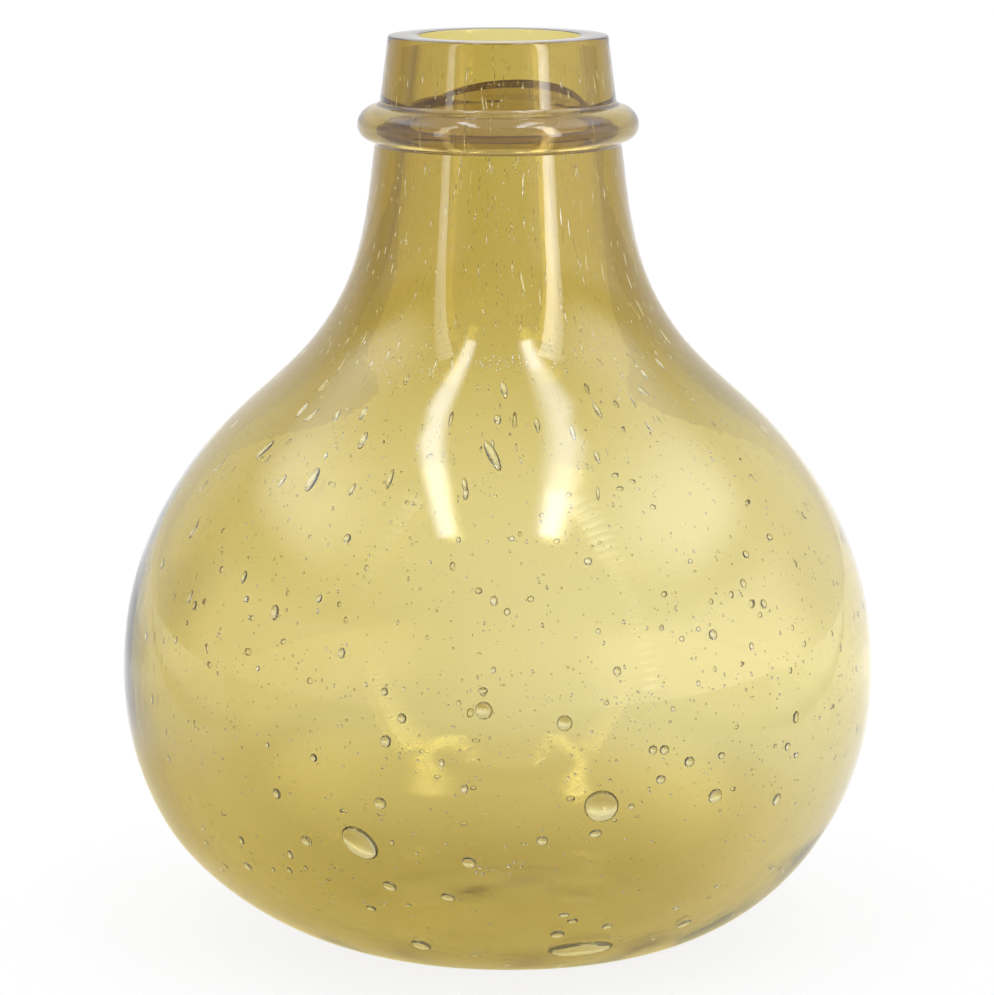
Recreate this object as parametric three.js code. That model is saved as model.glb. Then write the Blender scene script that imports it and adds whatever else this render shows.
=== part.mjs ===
// A free-blown demijohn of seeded olive glass, with a cut and ground mouth and a string ring round its neck.
// Millimetres, +Z up. The origin is on the ground, under the middle of the belly.
import * as THREE from "three";

// The outer line of the vessel: its radius and its height above the ground at each level
const FOOT_RADIUS = 45;
const HEEL_RADIUS = 73.8;
const HEEL_HEIGHT = 9;
const LOWER_BODY_RADIUS = 98.7;
const LOWER_BODY_HEIGHT = 32;
const BELLY_RADIUS = 112.9;
const BELLY_HEIGHT = 84;
const UPPER_BODY_RADIUS = 102.2;
const UPPER_BODY_HEIGHT = 126;
const SHOULDER_RADIUS = 78.3;
const SHOULDER_HEIGHT = 158;
const FLARE_RADIUS = 57.2;
const FLARE_HEIGHT = 178;
const THROAT_RADIUS = 44;
const THROAT_HEIGHT = 200;
const NECK_FOOT_RADIUS = 36.6;
const RIM_RADIUS = 32.5;
const TOTAL_HEIGHT = 270;
const NECK_LENGTH = 32; // the straight taper below the rim
const NECK_FOOT_HEIGHT = TOTAL_HEIGHT - NECK_LENGTH;

// The wall at those levels, square to the outer surface: almost even in the body, left thick in the neck
const FLOOR_WALL = 4.4;
const HEEL_WALL = 4.4;
const LOWER_BODY_WALL = 4.4;
const BELLY_WALL = 4.4;
const UPPER_BODY_WALL = 4.5;
const SHOULDER_WALL = 5;
const FLARE_WALL = 6.8;
const THROAT_WALL = 8.2;
const NECK_WALL = 8.5;

// The foot: a flat ring that the vessel stands on, round a shallow pushed-up centre
const FOOT_WIDTH = 7;
const KICK_UP_HEIGHT = 2;
const KICK_UP_ROUNDING = 16; // how far the curve runs level at the centre and at the foot ring
const FOOT_DRIFT = 3.5; // the foot was set a little to one side of the neck
const DRIFT_HEIGHT = 34; // the level where that shift has died out

// The mouth, cut flat and ground, with its two edges taken off
const MOUTH_RADIUS = 24;
const RIM_BEVEL = 0.6;

// The string ring: a trail of glass wound once round the neck, its end laid over its start
const RING_RISE = 6.4; // from the foot of the neck to the middle of the ring
const RING_HEIGHT = NECK_FOOT_HEIGHT + RING_RISE;
const RING_THICKNESS = 5.9;
const RING_HALF_DEPTH = 5.4;
const RING_SEAT_GAP = 0.3; // the real ring is fused to the neck
const TAIL_START = THREE.MathUtils.degToRad(4);
const TAIL_END = THREE.MathUtils.degToRad(142);
const TAIL_RADIUS = 2.9;
const TAIL_BLUNTNESS = 0.8; // below 1 the tail's two ends are blunter
const TAIL_OVERLAP = 2.2; // how deep the tail's two ends lie below the ring's top
const TAIL_CLIMB = 2.7; // how far the tail rises where it is thickest

// Facets
const TURN_STEPS = 60;
const KICK_UP_STEPS = 5;
const SPAN_STEPS = 4;
const RING_POINTS = 16;

const GLASS = { color: 0xb9a84c, roughness: 0.06, metalness: 0, transparent: true, opacity: 0.6 };

const point = (radius, height) => new THREE.Vector2(radius, height);

// A level of the outer line holds its radius, its height and its wall.
const level = (radius, height, wall) => new THREE.Vector3(radius, height, wall);

const LEVELS = [
  level(FOOT_RADIUS, 0, FLOOR_WALL),
  level(HEEL_RADIUS, HEEL_HEIGHT, HEEL_WALL),
  level(LOWER_BODY_RADIUS, LOWER_BODY_HEIGHT, LOWER_BODY_WALL),
  level(BELLY_RADIUS, BELLY_HEIGHT, BELLY_WALL),
  level(UPPER_BODY_RADIUS, UPPER_BODY_HEIGHT, UPPER_BODY_WALL),
  level(SHOULDER_RADIUS, SHOULDER_HEIGHT, SHOULDER_WALL),
  level(FLARE_RADIUS, FLARE_HEIGHT, FLARE_WALL),
  level(THROAT_RADIUS, THROAT_HEIGHT, THROAT_WALL),
  level(NECK_FOOT_RADIUS, NECK_FOOT_HEIGHT, NECK_WALL),
];

/** The direction of a smooth curve at each level, so that its bend changes evenly from span to span. */
function levelDirections(levels, lengths, first, last) {
  const count = levels.length;
  const weights = [0];
  const sums = [first.clone()];
  for (let i = 1; i < count - 1; i++) {
    const before = 1 / lengths[i - 1];
    const after = 1 / lengths[i];
    const pull = levels[i].clone().sub(levels[i - 1]).multiplyScalar(3 * before * before);
    pull.add(levels[i + 1].clone().sub(levels[i]).multiplyScalar(3 * after * after));
    const divisor = 2 * (before + after) - before * weights[i - 1];
    weights.push(after / divisor);
    sums.push(pull.sub(sums[i - 1].clone().multiplyScalar(before)).divideScalar(divisor));
  }
  const directions = [];
  directions[count - 1] = last.clone();
  for (let i = count - 2; i >= 0; i--) {
    directions[i] = sums[i].clone().sub(directions[i + 1].clone().multiplyScalar(weights[i]));
  }
  directions[0] = first.clone();
  return directions;
}

/** The levels joined by a smooth curve, level at the foot and in line with the tapering neck at its top. */
function smoothLine(levels) {
  const lengths = levels.slice(1).map((end, i) => Math.hypot(end.x - levels[i].x, end.y - levels[i].y));
  const foot = level(1, 0, 0);
  const neck = level(RIM_RADIUS - NECK_FOOT_RADIUS, TOTAL_HEIGHT - NECK_FOOT_HEIGHT, 0).normalize();
  const directions = levelDirections(levels, lengths, foot, neck);
  const line = [levels[0].clone()];
  for (let i = 0; i < lengths.length; i++) {
    const reach = lengths[i] / 3;
    const span = new THREE.CubicBezierCurve3(
      levels[i],
      levels[i].clone().addScaledVector(directions[i], reach),
      levels[i + 1].clone().addScaledVector(directions[i + 1], -reach),
      levels[i + 1],
    );
    line.push(...span.getPoints(SPAN_STEPS).slice(1));
  }
  return line;
}

/** The underside of the floor, from the axis down to the inner edge of the foot ring. */
function kickUpLine() {
  const footInner = FOOT_RADIUS - FOOT_WIDTH;
  const curve = new THREE.CubicBezierCurve(
    point(0, KICK_UP_HEIGHT),
    point(KICK_UP_ROUNDING, KICK_UP_HEIGHT),
    point(footInner - KICK_UP_ROUNDING, 0),
    point(footInner, 0),
  );
  return curve.getPoints(KICK_UP_STEPS).map((place) => level(place.x, place.y, FLOOR_WALL));
}

const OUTER_LINE = [...kickUpLine(), ...smoothLine(LEVELS)];

/** The outer radius of the vessel at a height above its belly. */
function outerRadiusAt(height) {
  if (height >= NECK_FOOT_HEIGHT) {
    const share = (height - NECK_FOOT_HEIGHT) / (TOTAL_HEIGHT - NECK_FOOT_HEIGHT);
    return THREE.MathUtils.lerp(NECK_FOOT_RADIUS, RIM_RADIUS, share);
  }
  const above = OUTER_LINE.findLastIndex((place) => place.y <= height) + 1;
  const low = OUTER_LINE[above - 1];
  const high = OUTER_LINE[above];
  return THREE.MathUtils.mapLinear(height, low.y, high.y, low.x, high.x);
}

/** The inner line: each outer point moved square to the surface by its wall. */
function innerLine() {
  return OUTER_LINE.map((place, i) => {
    const before = OUTER_LINE[Math.max(i - 1, 0)];
    const after = OUTER_LINE[Math.min(i + 1, OUTER_LINE.length - 1)];
    const along = point(after.x - before.x, after.y - before.y).normalize();
    const inward = i === 0 ? point(0, 1) : point(-along.y, along.x);
    return inward.multiplyScalar(place.z).add(place);
  });
}

/** The section of the vessel, from the axis under the floor round the outside and back to the axis. */
function vesselSection() {
  return [
    ...OUTER_LINE.map((place) => point(place.x, place.y)),
    point(outerRadiusAt(TOTAL_HEIGHT - RIM_BEVEL), TOTAL_HEIGHT - RIM_BEVEL),
    point(RIM_RADIUS - RIM_BEVEL, TOTAL_HEIGHT),
    point(MOUTH_RADIUS + RIM_BEVEL, TOTAL_HEIGHT),
    point(MOUTH_RADIUS, TOTAL_HEIGHT - RIM_BEVEL),
    ...innerLine().reverse(),
  ];
}

/** Moves the lowest part of the body sideways, most at the ground and not at all above the drift height. */
function setFootAside(geometry) {
  const places = geometry.getAttribute("position");
  for (let i = 0; i < places.count; i++) {
    const rise = THREE.MathUtils.clamp(places.getZ(i) / DRIFT_HEIGHT, 0, 1);
    places.setX(i, places.getX(i) + FOOT_DRIFT * (1 - rise));
  }
  return geometry;
}

/** The blown vessel as one turned wall. */
function vesselWall() {
  const turned = new THREE.LatheGeometry(vesselSection(), TURN_STEPS).rotateX(Math.PI / 2);
  return setFootAside(turned);
}

/** The tail's radius at a turn round the neck: it swells and thins again, and is nothing elsewhere. */
function tailRadiusAt(turn) {
  const share = (turn - TAIL_START) / (TAIL_END - TAIL_START);
  return share <= 0 || share >= 1 ? 0 : TAIL_RADIUS * Math.sin(Math.PI * share) ** TAIL_BLUNTNESS;
}

/** How far the ring's surface lies from the middle of its seat, at an angle above the horizontal. */
function ringReachAt(angle, tailRadius) {
  const across = Math.cos(angle);
  const up = Math.sin(angle);
  const trail = 1 / Math.hypot(across / RING_THICKNESS, up / RING_HALF_DEPTH);
  const tailHeight = RING_HALF_DEPTH - TAIL_OVERLAP + (TAIL_CLIMB * tailRadius) / TAIL_RADIUS;
  const along = tailRadius * across + tailHeight * up;
  const inside = along * along - tailHeight * tailHeight;
  return inside > 0 ? Math.max(trail, along + Math.sqrt(inside)) : trail;
}

/** One section of the ring, from its lowest point at the neck round the outside to its highest. */
function ringSection(turn) {
  const tailRadius = tailRadiusAt(turn);
  const section = [];
  for (let i = 0; i <= RING_POINTS; i++) {
    const angle = Math.PI * (i / RING_POINTS - 0.5);
    const reach = ringReachAt(angle, tailRadius);
    const height = RING_HEIGHT + reach * Math.sin(angle);
    section.push(point(outerRadiusAt(height) + RING_SEAT_GAP + reach * Math.cos(angle), height));
  }
  return section;
}

/** The ring as one closed band of sections, its inner face following the neck at the seat gap. */
function ringBand() {
  const corners = [];
  const faces = [];
  const rows = RING_POINTS + 1;
  for (let i = 0; i < TURN_STEPS; i++) {
    const turn = (2 * Math.PI * i) / TURN_STEPS;
    for (const place of ringSection(turn)) {
      corners.push(place.x * Math.cos(turn), place.x * Math.sin(turn), place.y);
    }
  }
  const cornerAt = (i, j) => (i % TURN_STEPS) * rows + (j % rows);
  for (let i = 0; i < TURN_STEPS; i++) {
    for (let j = 0; j < rows; j++) {
      faces.push(cornerAt(i, j), cornerAt(i + 1, j), cornerAt(i, j + 1));
      faces.push(cornerAt(i + 1, j), cornerAt(i + 1, j + 1), cornerAt(i, j + 1));
    }
  }
  const geometry = new THREE.BufferGeometry();
  geometry.setAttribute("position", new THREE.Float32BufferAttribute(corners, 3));
  geometry.setIndex(faces);
  geometry.computeVertexNormals();
  return geometry;
}

/** A named piece of the glass. */
function glassPiece(name, geometry) {
  const piece = new THREE.Mesh(geometry, new THREE.MeshStandardMaterial(GLASS));
  piece.name = name;
  return piece;
}

const demijohn = new THREE.Group();
demijohn.add(glassPiece("vessel", vesselWall()), glassPiece("neck_ring", ringBand()));

export default demijohn;
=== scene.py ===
"""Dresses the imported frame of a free-blown glass demijohn and sets it in a plain pale studio.

Metres, +Z up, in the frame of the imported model. The photograph looks along +Y, a little downwards.
"""
from __future__ import annotations

import logging
import math
from dataclasses import dataclass, field
from enum import Enum

import bpy
import numpy as np
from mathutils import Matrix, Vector

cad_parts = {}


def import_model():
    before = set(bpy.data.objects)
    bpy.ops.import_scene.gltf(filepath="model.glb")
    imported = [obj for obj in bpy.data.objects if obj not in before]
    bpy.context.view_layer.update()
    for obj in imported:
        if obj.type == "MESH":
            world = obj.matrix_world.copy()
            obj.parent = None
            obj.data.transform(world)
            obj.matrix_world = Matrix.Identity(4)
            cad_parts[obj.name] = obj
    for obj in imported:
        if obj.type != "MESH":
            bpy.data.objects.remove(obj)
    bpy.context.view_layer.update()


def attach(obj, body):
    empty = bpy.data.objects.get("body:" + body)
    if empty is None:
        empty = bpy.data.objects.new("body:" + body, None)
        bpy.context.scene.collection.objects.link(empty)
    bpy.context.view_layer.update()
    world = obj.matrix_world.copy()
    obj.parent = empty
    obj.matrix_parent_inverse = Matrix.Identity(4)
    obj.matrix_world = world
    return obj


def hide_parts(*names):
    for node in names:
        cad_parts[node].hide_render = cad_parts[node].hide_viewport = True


log = logging.getLogger("demijohn")

MM = 0.001
FULL_TURN = 2 * math.pi
TURN_STEPS = 160
MERGE_REACH = 0.004 * MM
BATCH = 4096  # vertices that are matched at a time
PLAIN_TURN = np.array([-FULL_TURN / 4])  # a turn where the ring has no tail
RISE = (0.0, 1.0)
FALL = (1.0, 0.0)
WHITE = (1.0, 1.0, 1.0, 1.0)
SoftEdge = tuple[bpy.types.NodeSocket, tuple[float, float], tuple[float, float]]


# Small helpers


def linear(hex_colour: str) -> tuple[float, float, float, float]:
    """Turns an sRGB hex colour into the linear colour that the shaders work in, by the sRGB standard.

    Args:
        hex_colour: six hex digits, such as "c8b46a".

    Returns:
        Linear red, green and blue with an alpha of 1.
    """
    parts = [int(hex_colour[i:i + 2], 16) / 255 for i in (0, 2, 4)]
    red, green, blue = (c / 12.92 if c <= 0.04045 else ((c + 0.055) / 1.055) ** 2.4 for c in parts)
    return red, green, blue, 1.0


def smoothstep(low: float, high: float, value: np.ndarray) -> np.ndarray:
    """An even S-shaped rise from 0 at low to 1 at high."""
    share = np.clip((value - low) / (high - low), 0.0, 1.0)
    return share * share * (3 - 2 * share)


def add_node(
    tree: bpy.types.NodeTree,
    kind: str,
    values: dict[str | int, object] | None = None,
    links: dict[str | int, bpy.types.NodeSocket] | None = None,
    **settings: object,
) -> bpy.types.Node:
    """Adds one node to a tree.

    Args:
        tree: the tree that gets the node.
        kind: the node's type name.
        values: constants for its inputs, by socket name or number.
        links: sockets of other nodes that feed its inputs, by socket name or number.
        settings: the node's own properties.

    Returns:
        The new node.
    """
    node = tree.nodes.new(kind)
    for name, value in settings.items():
        setattr(node, name, value)
    for name, value in (values or {}).items():
        node.inputs[name].default_value = value
    for name, socket in (links or {}).items():
        tree.links.new(socket, node.inputs[name])
    return node


def soft_levels(tree: bpy.types.NodeTree, *edges: SoftEdge) -> bpy.types.NodeSocket:
    """Adds the product of S-shaped changes from one level to another.

    Args:
        tree: the tree that gets the nodes.
        edges: for each change the socket it depends on, the values where it starts and ends, and the
            levels before and after it.

    Returns:
        The socket of the product.
    """
    whole = None
    for value, (start, end), (before, after) in edges:
        ends = {"From Min": start, "From Max": end, "To Min": before, "To Max": after}
        edge = add_node(tree, "ShaderNodeMapRange", ends, {"Value": value}, interpolation_type="SMOOTHSTEP")
        level = edge.outputs[0]
        if whole:
            both = {0: whole, 1: level}
            level = add_node(tree, "ShaderNodeMath", links=both, operation="MULTIPLY").outputs[0]
        whole = level
    return whole


def spin_section(name: str, section: np.ndarray) -> bpy.types.Object:
    """Draws a section point by point and spins it once round the upright axis.

    Args:
        name: the new piece's name.
        section: rows of radius and height in metres.

    Returns:
        The spun piece, its faces pointing outwards.
    """
    bpy.ops.object.select_all(action="DESELECT")
    bpy.ops.mesh.primitive_plane_add(size=MM)
    piece = bpy.context.object
    piece.name = piece.data.name = name
    bpy.ops.object.mode_set(mode="EDIT")
    bpy.ops.mesh.select_all(action="SELECT")
    bpy.ops.mesh.merge(type="CENTER")
    bpy.ops.transform.translate(value=(section[0, 0], 0, section[0, 1]))
    for step in np.diff(section, axis=0):
        bpy.ops.mesh.extrude_region_move(TRANSFORM_OT_translate={"value": (step[0], 0, step[1])})
    bpy.ops.mesh.select_all(action="SELECT")
    bpy.ops.mesh.spin(steps=TURN_STEPS, angle=FULL_TURN, center=(0, 0, 0), axis=(0, 0, 1))
    bpy.ops.mesh.select_all(action="SELECT")
    bpy.ops.mesh.remove_doubles(threshold=MERGE_REACH)
    bpy.ops.mesh.normals_make_consistent(inside=False)
    bpy.ops.object.mode_set(mode="OBJECT")
    return piece


def corner_places(mesh: bpy.types.Mesh) -> np.ndarray:
    """Reads the places of a mesh's vertices.

    Args:
        mesh: the mesh.

    Returns:
        Rows of x, y and z.
    """
    flat = np.empty(len(mesh.vertices) * 3)
    mesh.vertices.foreach_get("co", flat)
    return flat.reshape(-1, 3)


def match_rows(mesh: bpy.types.Mesh, section: np.ndarray) -> tuple[np.ndarray, np.ndarray]:
    """Finds the section row that each vertex of a spun piece came from.

    Args:
        mesh: the spun mesh.
        section: the rows that it was spun from.

    Returns:
        The row number and the turn in radians of each vertex.
    """
    places = corner_places(mesh)
    radius = np.hypot(places[:, 0], places[:, 1])
    turn = np.arctan2(places[:, 1], places[:, 0])
    turn = np.round(turn / FULL_TURN * TURN_STEPS) * FULL_TURN / TURN_STEPS
    rows = np.empty(len(places), dtype=int)
    for start in range(0, len(places), BATCH):
        part = slice(start, start + BATCH)
        across = radius[part, None] - section[None, :, 0]
        up = places[part, 2, None] - section[None, :, 1]
        rows[part] = np.argmin(across**2 + up**2, axis=1)
    return rows, turn


def face_slots(mesh: bpy.types.Mesh, rows: np.ndarray, slots: np.ndarray) -> np.ndarray:
    """Finds the slot of each face of a spun piece: that of the section step that it lies on.

    Args:
        mesh: the spun mesh.
        rows: each vertex's section row.
        slots: the slot of the step that starts at each row.

    Returns:
        The slot of each face.
    """
    found = []
    for face in mesh.polygons:
        touched = rows[list(face.vertices)]
        first, last = touched.min(), touched.max()
        found.append(slots[first] if last - first <= 1 else slots[last])
    return np.array(found, dtype=np.int32)


def join_part(piece: bpy.types.Object, finishes: list[bpy.types.Material], node: str) -> None:
    """Gives a piece its finishes and its place in the part.

    Clearing the materials also puts every face back in the first slot, so only the first finish shows.

    Args:
        piece: the new piece.
        finishes: its materials in slot order.
        node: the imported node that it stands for.
    """
    piece.data.materials.clear()
    for finish in finishes:
        piece.data.materials.append(finish)
    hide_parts(node)
    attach(piece, "root")
    log.info("%s: %d faces", piece.name, len(piece.data.polygons))


# Finishes


@dataclass(frozen=True)
class OliveGlass:
    """Soda-lime glass coloured by iron: its colour lies in its depth, so thick parts are deeper in tone."""

    absorption: str = "e4d976"
    density: float = 216.0  # per metre
    ior: float = 1.5
    roughness: float = 0.0
    frost: str = "ffffff"  # the tone of what the surface scatters, and of what it lets through
    clearness: float = 1.0  # 1 where nothing is scattered
    relief_height: float = 0.0
    grain_detail: float = 2.0  # how many finer layers lie over its pattern
    grain_fineness: float = 0.5  # how strong those are

    def relief(self, tree: bpy.types.NodeTree) -> bpy.types.NodeSocket | None:
        """Adds the pattern that stands up from the surface, if it has one."""
        return None

    def material(self, name: str) -> bpy.types.Material:
        """Makes the surface and the body colour under it.

        Args:
            name: the material's name.

        Returns:
            The material.
        """
        made = bpy.data.materials.new(name)
        made.use_nodes = True
        tree = made.node_tree
        tree.nodes.clear()
        pattern = self.relief(tree)
        links = {}
        if pattern:
            bump = add_node(tree, "ShaderNodeBump", {"Distance": self.relief_height}, {"Height": pattern})
            links["Normal"] = bump.outputs[0]
        values = {
            "Base Color": linear(self.frost),
            "Transmission Weight": self.clearness,
            "IOR": self.ior,
            "Roughness": self.roughness,
        }
        shader = add_node(tree, "ShaderNodeBsdfPrincipled", values, links)
        colour = {"Color": linear(self.absorption), "Density": self.density}
        depth = add_node(tree, "ShaderNodeVolumeAbsorption", colour)
        ends = {"Surface": shader.outputs[0], "Volume": depth.outputs[0]}
        add_node(tree, "ShaderNodeOutputMaterial", links=ends)
        return made

    def noise(self, tree: bpy.types.NodeTree, width: float, stretch: float = 1.0) -> bpy.types.NodeSocket:
        """Adds a cloudy pattern in the piece's own place.

        Args:
            tree: the material's tree.
            width: the size of its patches across the axis, in metres.
            stretch: how much slower it changes up the axis than across it, where below 1.

        Returns:
            The socket of its height.
        """
        place = add_node(tree, "ShaderNodeTexCoord").outputs["Object"]
        drawn = add_node(tree, "ShaderNodeMapping", {"Scale": (1.0, 1.0, stretch)}, {"Vector": place})
        values = {"Scale": 1 / width, "Detail": self.grain_detail, "Roughness": self.grain_fineness}
        return add_node(tree, "ShaderNodeTexNoise", values, {"Vector": drawn.outputs[0]}).outputs[0]


@dataclass(frozen=True)
class FirePolishedGlass(OliveGlass):
    """Free-blown and cooled in air: mirror-smooth, with faint cords that make reflections waver."""

    relief_height: float = 0.01 * MM
    grain_detail: float = 1.5
    grain_fineness: float = 0.45
    cord_width: float = 4.0 * MM
    cord_stretch: float = 0.2

    def relief(self, tree: bpy.types.NodeTree) -> bpy.types.NodeSocket:
        """Adds the cords."""
        return self.noise(tree, self.cord_width, self.cord_stretch)


@dataclass(frozen=True)
class TrailedGlass(OliveGlass):
    """A trail of glass laid on half cold: a duller skin, greyish aslant, with upright stretch marks."""

    roughness: float = 0.01
    frost: str = "f2ecf4"
    clearness: float = 0.965
    relief_height: float = 0.04 * MM
    mark_width: float = 2.0 * MM
    mark_stretch: float = 0.12

    def relief(self, tree: bpy.types.NodeTree) -> bpy.types.NodeSocket:
        """Adds the stretch marks."""
        return self.noise(tree, self.mark_width, self.mark_stretch)


@dataclass(frozen=True)
class GroundGlass(OliveGlass):
    """The mouth, ground flat on a wheel: a satin face that scatters light and looks paler than the wall."""

    roughness: float = 0.3
    frost: str = "dccabc"
    clearness: float = 0.55
    relief_height: float = 0.02 * MM
    grain_detail: float = 3.0
    scratch_width: float = 0.5 * MM  # coarser than real grinding marks, which wouldn't show

    def relief(self, tree: bpy.types.NodeTree) -> bpy.types.NodeSocket:
        """Adds the grinding marks."""
        return self.noise(tree, self.scratch_width)


@dataclass(frozen=True)
class FusedJoint(OliveGlass):
    """Where hot glass was laid on hot glass no surface is left between them, so light goes straight on."""

    ior: float = 1.0


@dataclass(frozen=True)
class AirLine(OliveGlass):
    """Hair-fine air lines drawn out with the neck, given an opaque near-black matt skin: painted shade, so
    they read as dark strokes.
    """

    ior: float = 1.0
    roughness: float = 1.0
    # painted shade: a near-black matt skin that nothing passes through
    frost: str = "1c1608"
    clearness: float = 0.0


class Surface(Enum):
    """The surfaces that a piece of the glass can have, in slot order. Only the first shows: see join_part."""

    POLISHED = 0
    FUSED = 1
    GROUND = 2
    AIR_LINE = 3


# The string ring


@dataclass
class StringRing:
    """The trail of glass wound once round the neck, its end laid over its start, in millimetres."""

    height: float = 244.4
    thickness: float = 5.9
    half_depth: float = 5.4
    toe: float = 1.3  # how far the fused edge runs out over the neck
    toe_angle: float = 72.0  # where the round of the trail gives way to its toe
    toe_knee: tuple[float, float] = (0.12, 0.35)  # how hollow the toe is: shares of its depth and height
    tail_start: float = 4.0
    tail_end: float = 142.0
    tail_radius: float = 2.9
    tail_bluntness: float = 0.8
    tail_overlap: float = 2.2
    tail_climb: float = 2.7
    seat_gap: float = 0.02
    round_steps: int = 26
    toe_steps: int = 5
    seat_steps: int = 8
    smooth_angle: float = 60.0  # degrees, above which an edge stays sharp

    def tail_radius_at(self, turn: np.ndarray) -> np.ndarray:
        """The tail's radius: it swells and thins again, and is nothing elsewhere.

        Args:
            turn: in radians.

        Returns:
            The radius in millimetres at each turn.
        """
        share = (np.degrees(turn) % 360 - self.tail_start) / (self.tail_end - self.tail_start)
        swell = np.sin(np.pi * np.clip(share, 0, 1)) ** self.tail_bluntness
        return self.tail_radius * swell

    def reach_at(self, angle: float, tail: np.ndarray) -> np.ndarray:
        """How far the ring's surface lies from the middle of its seat.

        Args:
            angle: in radians above the horizontal.
            tail: the tail's radius at each turn.

        Returns:
            The distance in millimetres at each turn.
        """
        across, up = math.cos(angle), math.sin(angle)
        trail = 1 / math.hypot(across / self.thickness, up / self.half_depth)
        tail_height = self.half_depth - self.tail_overlap + self.tail_climb * tail / self.tail_radius
        along = tail * across + tail_height * up
        inside = along * along - tail_height * tail_height
        over = along + np.sqrt(np.clip(inside, 0, None))
        return np.where(inside > 0, np.maximum(trail, over), trail)

    def edge_at(self, turn: np.ndarray, side: int) -> np.ndarray:
        """The height where the ring's toe runs out on the neck.

        Args:
            turn: in radians.
            side: -1 for the lower toe and 1 for the upper one.

        Returns:
            The height in metres at each turn.
        """
        angle = side * math.radians(self.toe_angle)
        rise = self.reach_at(angle, self.tail_radius_at(turn)) * math.sin(angle)
        return (self.height + rise + side * self.toe) * MM

    def outer_rows(self, turn: np.ndarray) -> list[np.ndarray]:
        """The ring's outer face, from its lower toe to its upper one.

        Args:
            turn: the turn of each section.

        Returns:
            For each row, how far it stands off the neck and its height, in metres, at each turn.
        """
        tail = self.tail_radius_at(turn)
        limit = math.radians(self.toe_angle)
        rows = []
        for angle in np.linspace(-limit, limit, self.round_steps + 1):
            reach = self.reach_at(float(angle), tail)
            rows.append(np.array([reach * math.cos(angle), self.height + reach * math.sin(angle)]) * MM)
        lower = self.toe_rows(turn, rows[0], -1)
        upper = self.toe_rows(turn, rows[-1], 1)
        return [*lower, *rows, *reversed(upper)]

    def toe_rows(self, turn: np.ndarray, start: np.ndarray, side: int) -> list[np.ndarray]:
        """The hollow fillet from the ring's round to where it runs out on the neck.

        Args:
            turn: the turn of each section.
            start: the row of the round where the fillet starts.
            side: -1 for the lower toe and 1 for the upper one.

        Returns:
            Its rows, as those of the outer face, from the neck towards the round.
        """
        edge = np.array([np.zeros_like(turn), self.edge_at(turn, side)])
        depth, height = self.toe_knee
        knee = np.array([start[0] * depth, start[1] + (edge[1] - start[1]) * height])
        shares = np.linspace(0, 1, self.toe_steps + 1)[:-1]
        return [(1 - s) ** 2 * edge + 2 * (1 - s) * s * knee + s**2 * start for s in shares]

    def seat_rows(self, turn: np.ndarray) -> list[np.ndarray]:
        """The ring's face on the neck, from its upper toe down to its lower one, without those two rows.

        Args:
            turn: the turn of each section.

        Returns:
            Its rows, as those of the outer face.
        """
        low, high = self.edge_at(turn, -1), self.edge_at(turn, 1)
        shares = np.linspace(1, 0, self.seat_steps + 1)[1:-1]
        gap = np.full_like(turn, self.seat_gap * MM)
        return [np.array([gap, low + (high - low) * s]) for s in shares]

    def all_rows(self, turn: np.ndarray) -> np.ndarray:
        """Every row of the ring round its section: how far it stands off the neck, and its height."""
        edge = np.array([np.zeros_like(turn), self.edge_at(turn, 1)])
        return np.array([*self.outer_rows(turn), edge, *self.seat_rows(turn)])

    def build(self, vessel: Vessel) -> bpy.types.Object:
        """Makes the ring as a closed piece whose seat follows the neck.

        Args:
            vessel: the vessel that carries it.

        Returns:
            The ring.
        """
        drawn = self.all_rows(PLAIN_TURN)[:, :, 0]
        section = np.column_stack([vessel.radius_at(drawn[:, 1]) + drawn[:, 0], drawn[:, 1]])
        piece = spin_section("string_ring", np.vstack([section, section[:1]]))
        rows, turn = match_rows(piece.data, section)
        picked = self.all_rows(turn)[rows, :, np.arange(len(turn))]
        radius = vessel.radius_at(picked[:, 1]) + picked[:, 0]
        turned = np.column_stack([radius * np.cos(turn), radius * np.sin(turn), picked[:, 1]])
        places = vessel.unevenness.settle(turned, np.zeros(len(turn), dtype=bool))
        piece.data.vertices.foreach_set("co", places.ravel())
        slots = np.full(len(section), Surface.POLISHED.value)
        slots[len(self.outer_rows(PLAIN_TURN)):] = Surface.FUSED.value
        piece.data.polygons.foreach_set("material_index", face_slots(piece.data, rows, slots))
        bpy.ops.object.shade_smooth_by_angle(angle=math.radians(self.smooth_angle))
        return piece

    def dress(self, piece: bpy.types.Object) -> None:
        """Gives the ring its stretched skin, and its fused seat, which join_part keeps from showing.

        Args:
            piece: the ring.
        """
        skin = TrailedGlass().material("fire_polished_trailed_glass")
        seat = FusedJoint().material("fused_seat_of_trailed_glass")
        join_part(piece, [skin, seat], "neck_ring")


# The form of the vessel


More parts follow.
